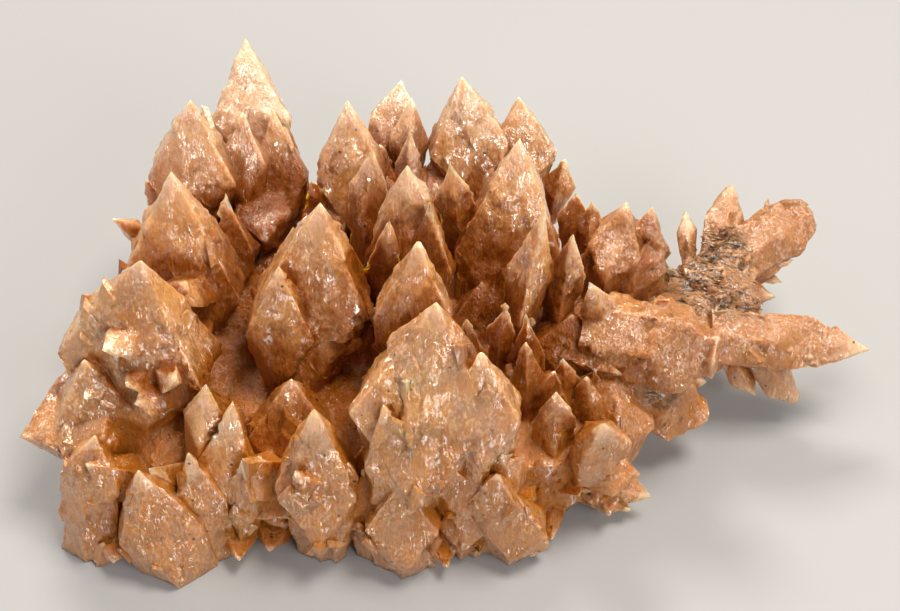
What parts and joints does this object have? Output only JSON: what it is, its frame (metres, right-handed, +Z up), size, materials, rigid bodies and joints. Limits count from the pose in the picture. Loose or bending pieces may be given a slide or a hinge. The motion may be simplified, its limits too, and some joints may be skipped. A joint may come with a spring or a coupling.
{
  "type": "calcite specimen",
  "caption": "Natural cluster of honey-orange dogtooth calcite crystals on a common core, cut off flat underneath, to stand on a shelf or in a display case",
  "frame": {"origin": "on the flat base that the specimen rests on, under the middle of its length and depth", "axes": "+X along the specimen towards the spray of crystals at its right end, +Y to its back, +Z up"},
  "size_m": [0.214, 0.1243, 0.09],
  "materials": {
    "calcite": "translucent, with etched sugary faces"
  },
  "bodies": {
    "root": {"calcite_cluster": "calcite"}
  },
  "joints": []
}
